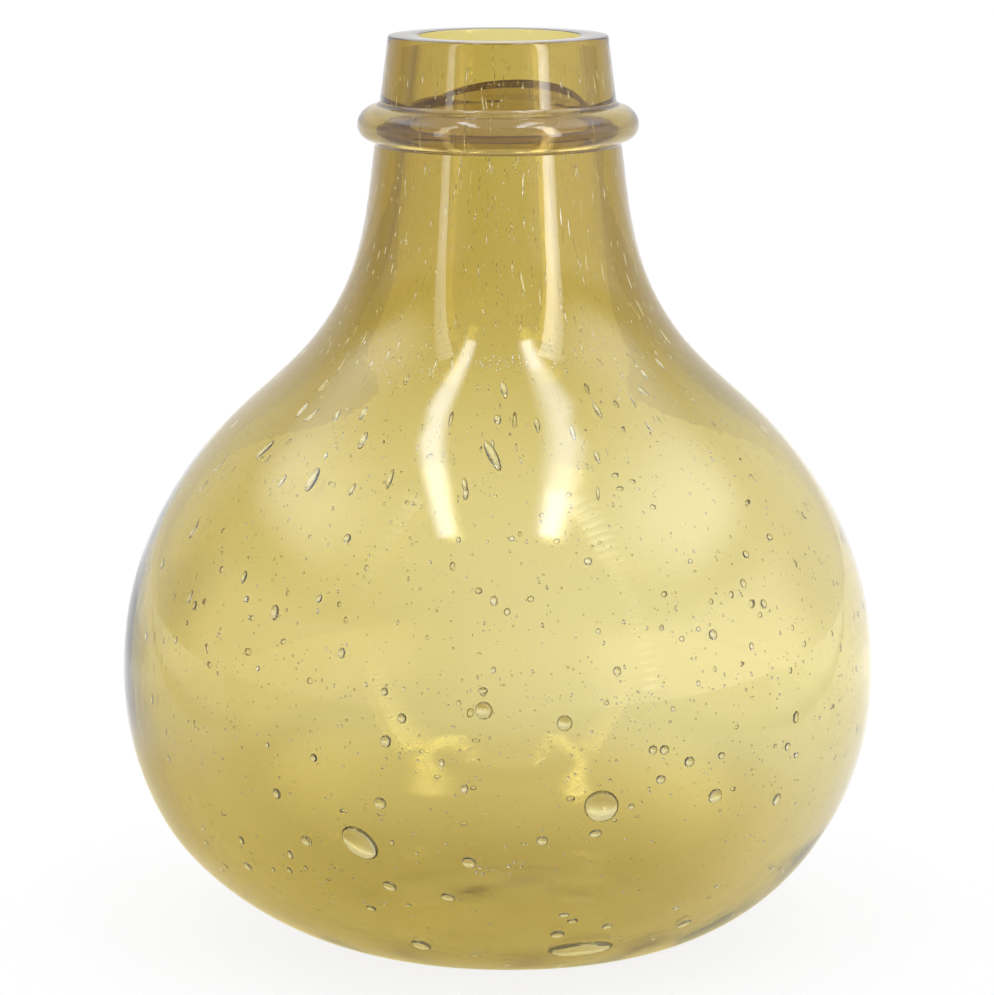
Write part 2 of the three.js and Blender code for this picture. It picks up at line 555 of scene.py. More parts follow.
@dataclass(frozen=True)
class VesselForm:
    """The turned form of the vessel in millimetres, as in the part's own source."""

    levels: tuple[tuple[float, float, float], ...] = (
        # radius, height, wall
        (45.0, 0.0, 4.4),
        (73.8, 9.0, 4.4),
        (98.7, 32.0, 4.4),
        (112.9, 84.0, 4.4),
        (102.2, 126.0, 4.5),
        (78.3, 158.0, 5.0),
        (57.2, 178.0, 6.8),
        (44.0, 200.0, 8.2),
        (36.6, 238.0, 8.5),
    )
    rim_radius: float = 32.5
    mouth_radius: float = 24.0
    rim_bevel: float = 0.6
    total_height: float = 270.0
    foot_width: float = 7.0
    kick_up_height: float = 2.0
    kick_up_rounding: float = 16.0
    span_steps: int = 60

    def upper_line(self) -> np.ndarray:
        """The outer line from the foot to the mouth: a smooth curve through the levels, then a straight neck.

        Returns:
            Rows of radius, height and wall in millimetres.
        """
        places = np.array(self.levels)
        steps = np.diff(places, axis=0)
        lengths = np.hypot(steps[:, 0], steps[:, 1])
        top = np.array([self.rim_radius, self.total_height, places[-1, 2]])
        neck = top - places[-1]
        count = len(places)
        system = np.eye(count)
        sums = np.zeros((count, 3))
        sums[0] = (1.0, 0.0, 0.0)
        sums[-1] = neck / np.linalg.norm(neck)
        for i in range(1, count - 1):
            before, after = 1 / lengths[i - 1], 1 / lengths[i]
            system[i, i - 1:i + 2] = before, 2 * (before + after), after
            sums[i] = 3 * (steps[i - 1] * before**2 + steps[i] * after**2)
        directions = np.linalg.solve(system, sums)
        line = [places[:1]]
        for i, length in enumerate(lengths):
            leave = places[i] + directions[i] * length / 3
            arrive = places[i + 1] - directions[i + 1] * length / 3
            line.append(self.span(places[i], leave, arrive, places[i + 1])[1:])
        share = np.linspace(0, 1, self.span_steps + 1)[1:, None]
        line.append(places[-1] + neck * share)
        return np.vstack(line)

    def span(self, *corners: np.ndarray) -> np.ndarray:
        """A smooth curve between two places.

        Args:
            corners: its start, the two points that it bends towards, and its end.

        Returns:
            Its points from start to end, as rows.
        """
        share = np.linspace(0, 1, self.span_steps + 1)[:, None]
        rest = 1 - share
        first, second, third, last = corners
        middle = 3 * rest * share * (rest * second + share * third)
        return rest**3 * first + middle + share**3 * last

    def outer_line(self) -> np.ndarray:
        """The outer line from the axis under the floor to the mouth.

        Returns:
            Rows of radius, height and wall in metres.
        """
        foot_radius, _, floor = self.levels[0]
        inner = foot_radius - self.foot_width
        kick_up = self.span(
            np.array([0.0, self.kick_up_height, floor]),
            np.array([self.kick_up_rounding, self.kick_up_height, floor]),
            np.array([inner - self.kick_up_rounding, 0.0, floor]),
            np.array([inner, 0.0, floor]),
        )
        return np.vstack([kick_up, self.upper_line()]) * MM


@dataclass
class Unevenness:
    """The small departures of hand work from a turned form, in millimetres where nothing else is said."""

    foot_drift: float = 3.5
    drift_height: float = 34.0
    drift_power: float = 1.3
    hollow_shift: float = 1.0  # the hollow sits nearer the thin side of the wall
    neck_hollow_shift: float = 0.35
    outer_swell: float = 0.12
    inner_swell: float = 0.25
    floor_swell: float = 0.18
    floor_wave: tuple[float, float] = (5.5, 8.0)  # how long its waves are across and along, over a turn
    floor_phase: float = 1.0  # radians
    waves: int = 7
    wave_counts: tuple[int, int] = (1, 6)  # how many go round the wall: at least, and fewer than
    wave_rise: tuple[float, float] = (0.02, 0.075)  # radians for each millimetre of height
    waves_set_in: tuple[float, float] = (0.004, 0.02)  # heights in metres, from here on
    waves_die_out: tuple[float, float] = (0.2, 0.235)
    away_from_axis: tuple[float, float] = (0.0, 0.03)  # metres
    belly_end: tuple[float, float] = (0.15, 0.2)  # where the hollow's shift gives way to the neck's
    neck_start: tuple[float, float] = (0.17, 0.21)
    floor_end: tuple[float, float] = (0.006, 0.03)
    draw: int = 11

    def swell(self, turn: np.ndarray, height: np.ndarray, draws: np.random.Generator) -> np.ndarray:
        """Slow waves round and up the wall.

        Args:
            turn: in radians.
            height: in metres.
            draws: the source of their counts, rises and phases.

        Returns:
            How far the waves stand out at each place, within about -1 to 1.
        """
        total = np.zeros_like(turn)
        for _ in range(self.waves):
            count = draws.integers(*self.wave_counts)
            rise = draws.uniform(*self.wave_rise)
            phase = draws.uniform(0, FULL_TURN)
            total += np.cos(count * turn + rise * height / MM + phase)
        return total / self.waves

    def settle(self, places: np.ndarray, inside: np.ndarray) -> np.ndarray:
        """Moves turned places to where hand work left them.

        Args:
            places: rows of x, y and z in metres.
            inside: a boolean for each row, true on the inner face.

        Returns:
            The moved rows.
        """
        x, y, z = places.T
        turn = np.arctan2(y, x)
        radius = np.hypot(x, y)
        draws = np.random.default_rng(self.draw)
        outer_wave = (self.swell(turn, z, draws) - 1) * self.outer_swell
        inner_wave = self.swell(turn, z, draws) * self.inner_swell
        free = smoothstep(*self.waves_set_in, z) * (1 - smoothstep(*self.waves_die_out, z))
        free *= smoothstep(*self.away_from_axis, radius)
        grown = radius + np.where(inside, inner_wave, outer_wave) * free * MM
        belly = 1 - smoothstep(*self.belly_end, z)
        neck = smoothstep(*self.neck_start, z)
        shift = (self.hollow_shift * belly + self.neck_hollow_shift * neck) * MM
        low = np.clip(1 - z / (self.drift_height * MM), 0, 1) ** self.drift_power
        x = grown * np.cos(turn) + self.foot_drift * MM * low + np.where(inside, shift, 0.0)
        y = grown * np.sin(turn)
        across, along = self.floor_wave
        ripple = np.sin(x / (across * MM)) * np.cos(y / (along * MM) + self.floor_phase)
        floor = self.floor_swell * MM * (1 - smoothstep(*self.floor_end, z))
        return np.column_stack([x, y, z + np.where(inside, ripple * floor, 0.0)])


# Seeds, the bubbles in the glass


@dataclass(frozen=True)
class SeedBand:
    """A band of the wall with its own crowd of seeds. Heights and sizes are in millimetres."""

    low: float
    high: float
    count: int
    width: tuple[float, float]
    stretch: tuple[float, float]  # length up the wall over width
    lean: float  # degrees
    flatness: float = 1.0  # depth through the wall over width
    crowding: float = 0.6  # below 1 most seeds are near the smaller width, at 1 they are even
    # hair-fine seeds take the air line slot, whose dark skin is painted shade
    hair_fine: bool = False


@dataclass(frozen=True)
class PlacedSeed:
    """One of the larger seeds, where the photograph shows it: pixels, then millimetres and degrees."""

    x: float
    y: float
    long: float
    wide: float
    lean: float = 0.0
    deep: float = 0.5  # how far through the wall its middle lies
    thick: float = 1.3


@dataclass(frozen=True)
class SeedCluster:
    """A patch of specks close together: its middle and half sizes in pixels, its specks in millimetres."""

    x: float
    y: float
    half_width: float
    half_height: float
    count: int
    width: tuple[float, float]
    stretch: tuple[float, float]  # length up the wall over width
    flatness: float = 0.7  # depth through the wall over its smaller side
    depth: tuple[float, float] = (0.1, 0.6)  # how far through the wall
    lean: float = 20.0  # degrees


@dataclass
class Seeds:
    """All the seeds of the vessel: drawn out with the neck, round in the body and flat near the foot."""

    bands: tuple[SeedBand, ...] = (
        SeedBand(178, 261, 600, (0.26, 0.52), (4.0, 15.0), 9.0, 0.8, hair_fine=True),
        SeedBand(172, 260, 420, (0.24, 0.45), (1.5, 5.0), 16.0, 0.8, hair_fine=True),
        SeedBand(146, 186, 460, (0.28, 0.6), (2.0, 6.0), 14.0, 0.7, hair_fine=True),
        SeedBand(146, 180, 60, (0.8, 1.8), (2.2, 4.5), 10.0, 0.6, 1.0),
        SeedBand(96, 150, 820, (0.3, 0.95), (1.0, 2.2), 25.0, 0.6),
        SeedBand(30, 100, 1450, (0.3, 1.05), (0.85, 1.25), 90.0, 0.55),
        SeedBand(36, 140, 150, (1.3, 2.6), (0.9, 1.5), 20.0, 0.45, 1.0),
        SeedBand(1, 32, 360, (0.4, 1.4), (0.5, 0.9), 20.0, 0.6),
        SeedBand(2, 32, 60, (1.6, 3.6), (0.4, 0.8), 15.0, 0.5, 1.0),
    )
    clusters: tuple[SeedCluster, ...] = (
        SeedCluster(494, 360, 22, 6, 34, (0.4, 0.9), (0.8, 1.6)),
        SeedCluster(426, 372, 10, 7, 9, (0.3, 0.7), (0.8, 2.0)),
        SeedCluster(470, 372, 16, 4, 8, (0.3, 0.6), (0.6, 1.2)),
        SeedCluster(545, 700, 16, 5, 12, (0.3, 0.6), (0.8, 1.3)),
        SeedCluster(634, 700, 34, 10, 30, (0.3, 0.7), (0.8, 1.4)),
        SeedCluster(640, 722, 30, 12, 22, (0.3, 0.7), (0.8, 1.4)),
        SeedCluster(490, 868, 34, 9, 14, (0.9, 1.6), (0.6, 0.9)),
    )
    placed: tuple[PlacedSeed, ...] = (
        PlacedSeed(262, 448, 7.4, 3.0, -28, 0.35, 1.6),
        PlacedSeed(310, 478, 8.0, 3.4, -4, 0.3, 1.7),
        PlacedSeed(191, 529, 5.8, 2.3, -10, 0.4, 1.5),
        PlacedSeed(360, 438, 6.4, 2.4, 2, 0.4, 1.6),
        PlacedSeed(360, 410, 5.2, 1.9, 0, 0.5, 1.4),
        PlacedSeed(187, 596, 4.2, 1.7, -6, 0.4, 1.3),
        PlacedSeed(200, 486, 5.4, 1.6, -24, 0.5, 1.2),
        PlacedSeed(216, 465, 6.0, 1.6, -26, 0.5, 1.2),
        PlacedSeed(308, 413, 6.2, 1.7, -26, 0.5, 1.3),
        PlacedSeed(349, 487, 4.2, 1.7, -8, 0.5, 1.2),
        PlacedSeed(344, 537, 2.9, 2.5, 0, 0.4, 1.5),
        PlacedSeed(271, 612, 4.6, 3.2, 6, 0.4, 1.3),
        PlacedSeed(240, 576, 3.9, 2.3, 0, 0.5, 1.2),
        PlacedSeed(491, 453, 12.0, 2.9, 22, 0.35, 1.8),
        PlacedSeed(503, 386, 6.6, 2.1, 8, 0.5, 1.5),
        PlacedSeed(496, 416, 3.9, 2.2, 4, 0.5, 1.4),
        PlacedSeed(482, 711, 5.0, 5.0, 0, 0.4, 1.9),
        PlacedSeed(564, 724, 4.5, 4.4, 0, 0.4, 1.8),
        PlacedSeed(383, 742, 3.7, 3.5, 0, 0.4, 1.6),
        PlacedSeed(399, 719, 3.0, 2.8, 0, 0.5, 1.4),
        PlacedSeed(381, 692, 2.4, 2.4, 0, 0.5, 1.3),
        PlacedSeed(481, 691, 2.0, 2.9, 0, 0.5, 1.2),
        PlacedSeed(310, 759, 2.5, 2.4, 0, 0.5, 1.3),
        PlacedSeed(653, 751, 2.7, 2.7, 0, 0.45, 1.5),
        PlacedSeed(665, 751, 2.9, 3.0, 0, 0.45, 1.5),
        PlacedSeed(690, 763, 3.3, 3.3, 0, 0.45, 1.6),
        PlacedSeed(661, 781, 2.8, 3.0, 0, 0.5, 1.3),
        PlacedSeed(714, 634, 3.1, 2.9, 0, 0.5, 1.4),
        PlacedSeed(778, 801, 4.1, 3.4, 0, 0.5, 1.3),
        PlacedSeed(716, 798, 4.6, 4.4, 0, 0.6, 1.2),
        PlacedSeed(357, 845, 9.4, 12.2, -34, 0.4, 1.9),
        PlacedSeed(340, 859, 6.4, 7.4, -34, 0.4, 1.7),
        PlacedSeed(601, 808, 9.7, 9.9, 0, 0.4, 2.1),
        PlacedSeed(590, 828, 2.8, 4.4, 0, 0.5, 1.2),
        PlacedSeed(595, 836, 2.7, 3.8, 10, 0.5, 1.2),
        PlacedSeed(574, 951, 11.0, 19.0, 4, 0.4, 2.2),
        PlacedSeed(377, 805, 3.6, 3.8, 0, 0.5, 1.5),
        PlacedSeed(385, 815, 2.6, 3.0, 0, 0.5, 1.3),
        PlacedSeed(273, 795, 3.3, 3.1, 0, 0.5, 1.4),
        PlacedSeed(245, 868, 3.2, 3.9, 0, 0.5, 1.4),
        PlacedSeed(303, 843, 3.6, 3.9, 0, 0.5, 1.4),
        PlacedSeed(387, 889, 3.8, 4.4, 0, 0.5, 1.3),
        PlacedSeed(467, 865, 3.9, 4.2, 0, 0.5, 1.3),
        PlacedSeed(446, 900, 3.4, 4.2, 0, 0.5, 1.2),
        PlacedSeed(541, 843, 3.2, 3.4, 0, 0.5, 1.2),
        PlacedSeed(414, 947, 7.0, 6.0, -4, 0.5, 1.3),
        PlacedSeed(553, 937, 4.5, 4.2, 0, 0.5, 1.2),
        PlacedSeed(604, 929, 3.6, 3.6, 4, 0.5, 1.2),
        PlacedSeed(679, 926, 5.0, 5.0, 10, 0.5, 1.2),
    )
    margin: float = 0.16  # the least glass between a seed and the wall's faces
    fill: float = 0.95  # the most that a seed takes up of the wall between those margins
    clearance: float = 0.06  # the least glass between two seeds
    clearance_share: float = 1.1  # and how far each one's reach counts
    detail_from: tuple[float, float] = (0.82, 2.2)  # the sizes from which a seed gets finer faces
    length_share: float = 0.2  # how much its length counts in that
    draw: int = 5


# The vessel


@dataclass
class Vessel:
    """The blown wall with its ground mouth, the seat of the ring, and the seeds inside the glass."""

    form: VesselForm
    unevenness: Unevenness
    ring: StringRing
    seeds: Seeds
    row_spacing: float = 3.0 * MM
    mouth_steps: int = 10
    bevel_angles: tuple[float, ...] = (22.5, 45.0, 67.5, 90.0)
    smooth_angle: float = 40.0  # degrees, above which an edge stays sharp

    def __post_init__(self) -> None:
        """Works out the two faces of the wall, and the row of its outer face where the foot starts."""
        self.foot = self.form.span_steps + 1
        self.outer = self.form.outer_line()
        self.inner = self.inner_line()
        self.top = self.form.total_height * MM

    def inner_line(self) -> np.ndarray:
        """The inner face: each outer point moved square to the surface by its wall.

        Returns:
            Rows of radius and height in metres.
        """
        along = np.gradient(self.outer[:, :2], axis=0)
        along /= np.linalg.norm(along, axis=1)[:, None]
        inward = np.column_stack([-along[:, 1], along[:, 0]])
        inward[0] = (0.0, 1.0)
        line = self.outer[:, :2] + inward * self.outer[:, 2:]
        line[0, 0] = 0.0
        return line

    def radius_at(self, height: np.ndarray) -> np.ndarray:
        """The outer radius at heights above the belly, all in metres."""
        above = self.outer[np.argmax(self.outer[:, 0]):]
        return np.interp(height, above[:, 1], above[:, 0])

    def seat_edges(self) -> tuple[float, float]:
        """The lowest and highest level of the ring's seat where the ring has no tail."""
        return float(self.ring.edge_at(PLAIN_TURN, -1)[0]), float(self.ring.edge_at(PLAIN_TURN, 1)[0])

    def even_rows(self, line: np.ndarray) -> np.ndarray:
        """Points along a line at the row spacing.

        Args:
            line: its fine points, as rows of radius and height.

        Returns:
            The even points, as such rows.
        """
        run = np.concatenate([[0], np.cumsum(np.hypot(*np.diff(line, axis=0).T))])
        marks = np.linspace(0, run[-1], max(2, round(run[-1] / self.row_spacing)) + 1)
        return np.column_stack([np.interp(marks, run, line[:, 0]), np.interp(marks, run, line[:, 1])])

    def section(self) -> tuple[np.ndarray, np.ndarray, np.ndarray]:
        """The whole section, from the axis under the floor round the outside and back to the axis.

        Returns:
            Rows of radius and height, whether each is on the inner face, and the slot of the step after it.
        """
        low, high = self.seat_edges()
        bevel = self.form.rim_bevel * MM
        below = self.outer[self.outer[:, 1] < low - self.row_spacing / 2, :2]
        body = self.even_rows(below)
        seat = np.linspace(low, high, self.ring.seat_steps + 1)
        lip = np.linspace(high, self.top - bevel, self.mouth_steps + 1)[1:]
        neck = np.concatenate([seat, lip])
        neck_rows = np.column_stack([self.radius_at(neck), neck])
        rim = self.form.rim_radius * MM
        mouth = self.form.mouth_radius * MM
        arc = np.radians(self.bevel_angles)
        round_up = self.top - bevel + bevel * np.sin(arc)
        outer_bevel = np.column_stack([rim - bevel + bevel * np.cos(arc), round_up])
        inner_bevel = np.column_stack([mouth + bevel - bevel * np.cos(arc), round_up])[::-1]
        mouth_edge = np.array([[mouth, self.top - bevel]])
        hollow = self.even_rows(self.inner[self.inner[:, 1] < self.top - 2 * bevel])[::-1]
        parts = [body, neck_rows, outer_bevel, inner_bevel, mouth_edge, hollow]
        rows = np.vstack(parts)
        inside = np.zeros(len(rows), dtype=bool)
        inside[len(body) + len(neck_rows) + len(outer_bevel):] = True
        slots = np.full(len(rows), Surface.POLISHED.value)
        slots[len(body):len(body) + self.ring.seat_steps] = Surface.FUSED.value
        face = len(body) + len(neck_rows) + len(outer_bevel) - 1
        slots[face] = Surface.GROUND.value
        return rows, inside, slots

    def follow_ring(self, height: np.ndarray, turn: np.ndarray) -> np.ndarray:
        """Slides the rows of the outer neck so that one of them runs along the ring's upper edge.

        Args:
            height: the height in metres of each place.
            turn: its turn in radians.

        Returns:
            The heights after the slide.
        """
        low, high = self.seat_edges()
        edge = self.ring.edge_at(turn, 1)
        top = self.top - self.form.rim_bevel * MM
        seat = low + (height - low) * (edge - low) / (high - low)
        lip = edge + (height - high) * (top - edge) / (top - high)
        return np.select([height < low, height <= high, height < top], [height, seat, lip], height)

    def build(self) -> bpy.types.Object:
        """Makes the wall with its seeds.

        Returns:
            The vessel.
        """
        section, inside, slots = self.section()
        piece = spin_section("blown_vessel", section)
        rows, turn = match_rows(piece.data, section)
        within = inside[rows]
        height = section[rows, 1]
        slid = self.follow_ring(height, turn)
        moved = ~within & (slid != height)
        radius = np.where(moved, self.radius_at(slid), section[rows, 0])
        level = np.where(moved, slid, height)
        turned = np.column_stack([radius * np.cos(turn), radius * np.sin(turn), level])
        places = self.unevenness.settle(turned, within)
        piece.data.vertices.foreach_set("co", places.ravel())
        bpy.ops.object.shade_smooth_by_angle(angle=math.radians(self.smooth_angle))
        surfaces = [face_slots(piece.data, rows, slots), *self.add_seeds(piece)]
        piece.data.polygons.foreach_set("material_index", np.concatenate(surfaces))
        return piece

    def dress(self, piece: bpy.types.Object) -> None:
        """Gives the wall its polished skin, and the other finishes, which join_part keeps from showing.

        Args:
            piece: the vessel.
        """
        skin = FirePolishedGlass().material("fire_polished_seeded_glass")
        seat = FusedJoint().material("fused_glass_joint")
        mouth = GroundGlass().material("ground_glass")
        # the air lines get a skin of painted shade
        lines = AirLine().material("air_lines_painted_dark")
        join_part(piece, [skin, seat, mouth, lines], "vessel")

    # Places in the wall

    def wall_at(self, row: np.ndarray, turn: np.ndarray) -> tuple[np.ndarray, np.ndarray]:
        """The places on the wall's two faces.

        Args:
            row: row numbers of its fine lines.
            turn: turns in radians.

        Returns:
            The outer and the inner places, as rows of x, y and z.
        """
        index = np.arange(len(self.outer))
        both = []
        for line, inside in ((self.outer, False), (self.inner, True)):
            radius = np.interp(row, index, line[:, 0])
            height = np.interp(row, index, line[:, 1])
            turned = np.column_stack([radius * np.cos(turn), radius * np.sin(turn), height])
            both.append(self.unevenness.settle(turned, np.full(len(row), inside)))
        return both[0], both[1]

    def seed_frames(self, row: np.ndarray, turn: np.ndarray, share: np.ndarray) -> tuple[np.ndarray, ...]:
        """Finds how the wall runs at each seed.

        Args:
            row: row numbers of the wall's fine lines.
            turn: turns in radians.
            share: how far through the wall each seed's middle lies.

        Returns:
            The middle, the wall's thickness, and the directions up, round and through the wall.
        """
        outer, inner = self.wall_at(row, turn)
        ahead, ahead_inner = self.wall_at(row + 1, turn)
        through = inner - outer
        wall = np.linalg.norm(through, axis=1)
        through /= wall[:, None]
        up = ahead + ahead_inner - outer - inner
        up -= through * np.sum(up * through, axis=1)[:, None]
        up /= np.linalg.norm(up, axis=1)[:, None]
        middle = outer + through * (wall * share)[:, None]
        return middle, wall, up, np.cross(up, through), through

    def random_seeds(self, band: SeedBand, draws: np.random.Generator) -> tuple[np.ndarray, ...]:
        """Draws the seeds of one band, spread evenly over its area.

        Args:
            band: the band.
            draws: the source of their places and sizes.

        Returns:
            Their rows, turns, depths in the wall, sizes (long, wide, thick) in metres and leans.
        """
        heights = self.outer[:, 1] / MM
        radii = self.outer[:, 0]
        near = np.flatnonzero((heights >= band.low) & (heights <= band.high))
        near = near[near > self.foot]
        run = np.hypot(*np.gradient(self.outer[:, :2], axis=0)[near].T) * radii[near]
        row = draws.choice(near, size=band.count, p=run / run.sum()) + draws.uniform(-0.5, 0.5, band.count)
        turn = draws.uniform(0, FULL_TURN, band.count)
        depth = draws.uniform(0, 1, band.count)
        small, large = band.width
        wide = (small + (large - small) * draws.power(band.crowding, band.count)) * MM
        long = wide * draws.uniform(*band.stretch, band.count)
        thick = np.minimum(wide * band.flatness, long)
        lean = np.radians(draws.normal(0, band.lean / 2, band.count))
        return row, turn, depth, np.column_stack([long, wide, thick]), lean

    def place_on_wall(self, place: Vector) -> tuple[float, float]:
        """Finds where a place on the outer face lies in the wall's fine lines.

        Args:
            place: the place.

        Returns:
            The row number, between two rows as a rule, and the turn in radians.
        """
        row = np.interp(place.z, self.outer[self.foot:, 1], np.arange(self.foot, len(self.outer)))
        return float(row), math.atan2(place.y, place.x)

    def placed_seeds(self, camera: StudioCamera) -> tuple[np.ndarray, ...]:
        """The larger seeds, each where a ray through its pixel meets the front of the vessel.

        Args:
            camera: the photograph's camera.

        Returns:
            Their columns, as those of random_seeds.
        """
        found = []
        for seed in self.seeds.placed:
            place = camera.first_meeting(seed.x, seed.y, self)
            if place is None:
                log.warning("no wall behind the seed at %s, %s", seed.x, seed.y)
                continue
            row, turn = self.place_on_wall(place)
            found.append((row, turn, seed.deep, seed.long * MM, seed.wide * MM, seed.thick * MM, seed.lean))
        columns = np.array(found)
        return columns[:, 0], columns[:, 1], columns[:, 2], columns[:, 3:6], np.radians(columns[:, 6])

    def clustered_seeds(
        self, cluster: SeedCluster, camera: StudioCamera, draws: np.random.Generator
    ) -> tuple[np.ndarray, ...]:
        """Draws the specks of one patch.

        Args:
            cluster: the patch.
            camera: the photograph's camera.
            draws: the source of their places and sizes.

        Returns:
            Their columns, as those of random_seeds.
        """
        away = np.sqrt(draws.uniform(0, 1, cluster.count))
        around = draws.uniform(0, FULL_TURN, cluster.count)
        found = []
        for reach, angle in zip(away, around):
            x = cluster.x + cluster.half_width * reach * math.cos(angle)
            y = cluster.y + cluster.half_height * reach * math.sin(angle)
            found.append(self.place_on_wall(camera.first_meeting(x, y, self)))
        rows, turns = np.array(found).T
        wide = draws.uniform(*cluster.width, cluster.count) * MM
        long = wide * draws.uniform(*cluster.stretch, cluster.count)
        sizes = np.column_stack([long, wide, np.minimum(long, wide) * cluster.flatness])
        depth = draws.uniform(*cluster.depth, cluster.count)
        return rows, turns, depth, sizes, np.radians(draws.normal(0, cluster.lean, cluster.count))

    def add_seeds(self, piece: bpy.types.Object) -> list[np.ndarray]:
        """Adds the seeds to the wall as small closed hollows in its mesh.

        Args:
            piece: the wall.

        Returns:
            The slots of the new faces, in their order behind the wall's own.
        """
        draws = np.random.default_rng(self.seeds.draw)
        camera = StudioCamera()
        groups = [self.placed_seeds(camera)]
        groups += [self.clustered_seeds(cluster, camera, draws) for cluster in self.seeds.clusters]
        kinds = [False] * len(groups)
        for band in sorted(self.seeds.bands, key=lambda band: -band.width[1]):
            groups.append(self.random_seeds(band, draws))
            kinds.append(band.hair_fine)
        fine = np.repeat(kinds, [len(group[0]) for group in groups])
        row, turn, depth = (np.concatenate([g[i] for g in groups]) for i in range(3))
        sizes = np.vstack([g[3] for g in groups]) / 2
        lean = np.concatenate([g[4] for g in groups])
        _, wall, *_ = self.seed_frames(row, turn, np.full(len(row), 0.5))
        room = wall / 2 - self.seeds.margin * MM
        sizes[:, 2] = np.minimum(sizes[:, 2], room * self.seeds.fill)
        free = 1 - (sizes[:, 2] + self.seeds.margin * MM) / (wall / 2)
        share = 0.5 + (depth - 0.5) * free
        middle, wall, up, round_, through = self.seed_frames(row, turn, share)
        keep = self.apart(middle, sizes)
        log.info("seeds: %d of %d", keep.sum(), len(keep))
        cos, sin = np.cos(lean)[:, None], np.sin(lean)[:, None]
        axes = np.stack([up * cos + round_ * sin, round_ * cos - up * sin, through], axis=1)
        axes *= sizes[:, :, None]
        show = sizes[:, 1] + sizes[:, 0] * self.seeds.length_share
        edges = np.array([0.0, *self.seeds.detail_from, math.inf]) * MM
        slots = []
        # hair-fine seeds take the air line slot, a skin of painted shade
        for surface, kind in ((Surface.POLISHED, ~fine), (Surface.AIR_LINE, fine)):
            for detail, (low, high) in enumerate(zip(edges, edges[1:]), start=1):
                chosen = keep & kind & (show >= low) & (show < high)
                if not chosen.any():
                    continue
                hollows = self.hollows(detail, middle[chosen], axes[chosen])
                slots.append(np.full(len(hollows.data.polygons), surface.value, dtype=np.int32))
                bpy.ops.object.select_all(action="DESELECT")
                hollows.select_set(True)
                piece.select_set(True)
                bpy.context.view_layer.objects.active = piece
                bpy.ops.object.join()
        return slots

    def apart(self, middle: np.ndarray, sizes: np.ndarray) -> np.ndarray:
        """Picks the seeds to keep so that none meets one before it.

        Args:
            middle: the place of each seed.
            sizes: the half sizes of each seed (long, wide, thick) in metres.

        Returns:
            A boolean for each seed, true where it is kept.
        """
        keep = np.zeros(len(middle), dtype=bool)
        reach = np.sqrt(sizes[:, 0] * sizes[:, 1]) * self.seeds.clearance_share
        reach += self.seeds.clearance * MM
        for i in range(len(middle)):
            near = keep[:i]
            gap = np.linalg.norm(middle[:i][near] - middle[i], axis=1)
            keep[i] = bool(np.all(gap > reach[:i][near] + reach[i]))
        return keep

    @staticmethod
    def hollows(detail: int, middle: np.ndarray, axes: np.ndarray) -> bpy.types.Object:
        """Copies one round hollow to many places, drawn out along its own axes, facing inwards.

        Args:
            detail: how finely it is divided.
            middle: the place of each copy.
            axes: the three half axes of each copy.

        Returns:
            All the copies as one object.
        """
        bpy.ops.object.select_all(action="DESELECT")
        bpy.ops.mesh.primitive_ico_sphere_add(subdivisions=detail, radius=1.0)
        model = bpy.context.object
        shape = corner_places(model.data)
        faces = np.array([list(face.vertices)[::-1] for face in model.data.polygons])
        bpy.data.objects.remove(model)
        places = middle[:, None, :] + np.einsum("vk,skx->svx", shape, axes)
        first = (np.arange(len(middle)) * len(shape))[:, None, None]
        mesh = bpy.data.meshes.new("seeds")
        mesh.from_pydata(places.reshape(-1, 3), [], (faces[None] + first).reshape(-1, 3).tolist())
        mesh.shade_smooth()
        made = bpy.data.objects.new("seeds", mesh)
        bpy.context.scene.collection.objects.link(made)
        return made


# The studio


@dataclass(frozen=True)
class StudioCamera:
    """The photograph's camera: its frame in pixels, and its place in metres."""

    frame_width: int = 994
    frame_height: int = 995
    focal_pixels: float = 4230.0
    distance: float = 1.269
    pitch: float = 10.53  # degrees downwards
    aim: tuple[float, float, float] = (-0.00033, 0.0, 0.1316)
    sensor: float = 36.0
    far_end: float = 50.0
    search: tuple[float, float, float] = (1.05, 1.45, 0.0003)  # metres: a ray's start, end and step

    def place(self) -> Vector:
        """Where the camera stands."""
        pitch = math.radians(self.pitch)
        return Vector(self.aim) + Vector((0, -math.cos(pitch), math.sin(pitch))) * self.distance

    def ray(self, x: float, y: float) -> Vector:
        """The direction through a pixel of the frame.

        Args:
            x: the pixel's place from the frame's left.
            y: the pixel's place from the frame's top.

        Returns:
            The direction, of length 1.
        """
        pitch = math.radians(self.pitch)
        ahead = Vector((0, math.cos(pitch), -math.sin(pitch)))
        up = Vector((0, math.sin(pitch), math.cos(pitch)))
        right = (x - self.frame_width / 2) / self.focal_pixels
        rise = (self.frame_height / 2 - y) / self.focal_pixels
        return (ahead + Vector((1, 0, 0)) * right + up * rise).normalized()

    def first_meeting(self, x: float, y: float, vessel: Vessel) -> Vector | None:
        """The first place on the outer wall that the ray through a pixel meets.

        Args:
            x: the pixel's place from the frame's left.
            y: the pixel's place from the frame's top.
            vessel: the vessel.

        Returns:
            The place, or None where the ray misses the wall.
        """
        start, way = self.place(), self.ray(x, y)
        heights, radii = vessel.outer[vessel.foot:, 1], vessel.outer[vessel.foot:, 0]
        for step in np.arange(*self.search):
            at = start + way * step
            if 0 < at.z < vessel.top and math.hypot(at.x, at.y) < np.interp(at.z, heights, radii):
                return at
        return None

    def build(self) -> None:
        """Adds the camera to the scene."""
        bpy.ops.object.camera_add(location=self.place(), rotation=(math.radians(90 - self.pitch), 0, 0))
        made = bpy.context.object
        made.name = "studio_camera"
        made.data.sensor_fit = "HORIZONTAL"
        made.data.sensor_width = self.sensor
        made.data.lens = self.focal_pixels / self.frame_width * self.sensor
        made.data.clip_end = self.far_end
        bpy.context.scene.camera = made


